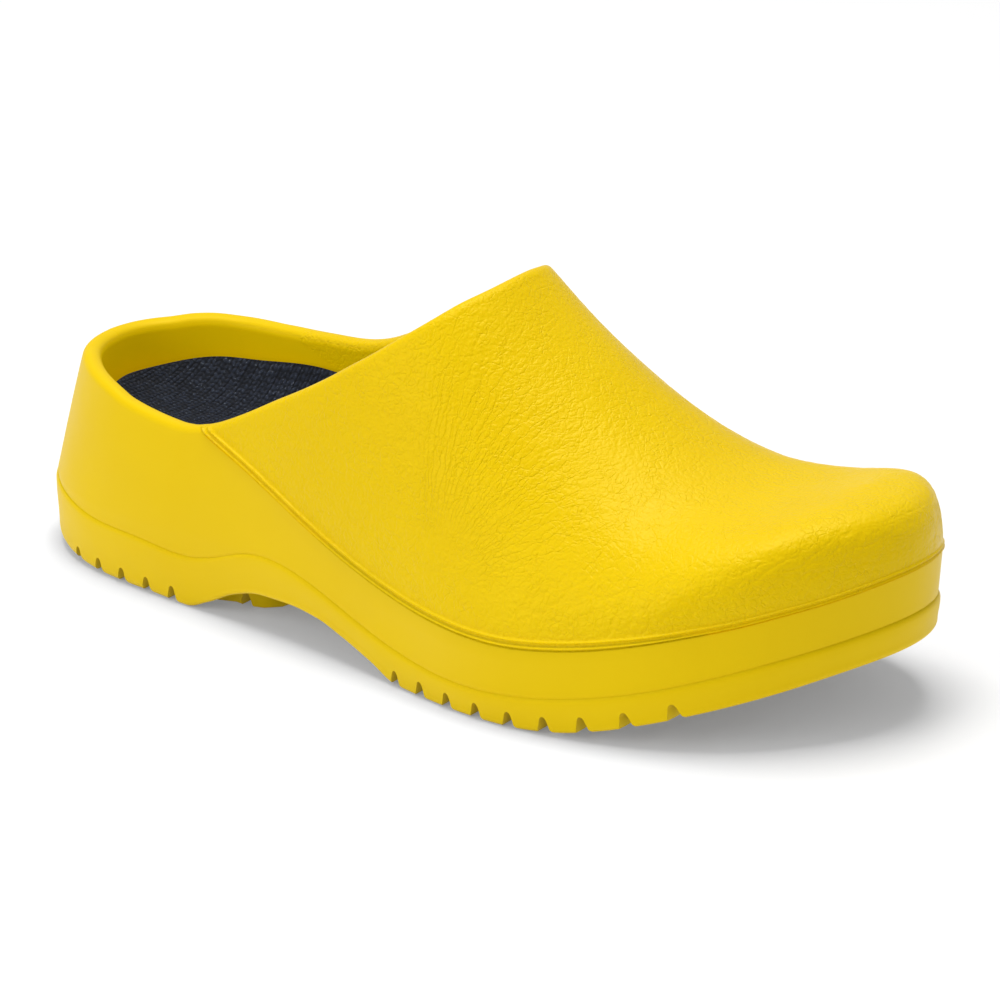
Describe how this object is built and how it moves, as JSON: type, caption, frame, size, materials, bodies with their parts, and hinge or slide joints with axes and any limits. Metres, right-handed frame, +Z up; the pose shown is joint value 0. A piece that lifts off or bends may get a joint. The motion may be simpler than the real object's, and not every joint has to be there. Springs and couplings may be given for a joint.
{
  "type": "rubber garden clog",
  "caption": "Closed-toe, backless rubber garden clog for the right foot, with a moulded welt, a treaded sole and a lift-out textile-covered cork footbed.",
  "frame": {"origin": "on the ground, under the middle of the overall length and width", "axes": "+X towards the toe, +Y towards the inner (medial) side of the foot, +Z up"},
  "size_m": [0.275, 0.1042, 0.104],
  "materials": {
    "upper_foam_rubber": "warm yellow foamed rubber, satin, with a fine pebbled leather grain",
    "sidewall_foam_rubber": "warm yellow foamed rubber, smooth satin",
    "outsole_foam_rubber": "warm yellow foamed rubber, smooth matt",
    "textile": "navy napped textile with small light flecks",
    "jute": "open jute weave",
    "cork_latex": "granulated cork bound with latex"
  },
  "bodies": {
    "shell": {"vamp": "upper_foam_rubber", "heel_quarter_sidewall": "sidewall_foam_rubber", "outsole": "outsole_foam_rubber"},
    "footbed": {"footbed_cover": "textile", "footbed_upper_jute": "jute", "footbed_core": "cork_latex", "footbed_lower_jute": "jute"}
  },
  "joints": [
    {"name": "footbed_lift", "type": "hinge", "parent": "shell", "child": "footbed", "pos_m": [0.1272, 0.0137, 0.0333], "axis": [0, 1, 0], "range_deg": [0, 4]}
  ]
}
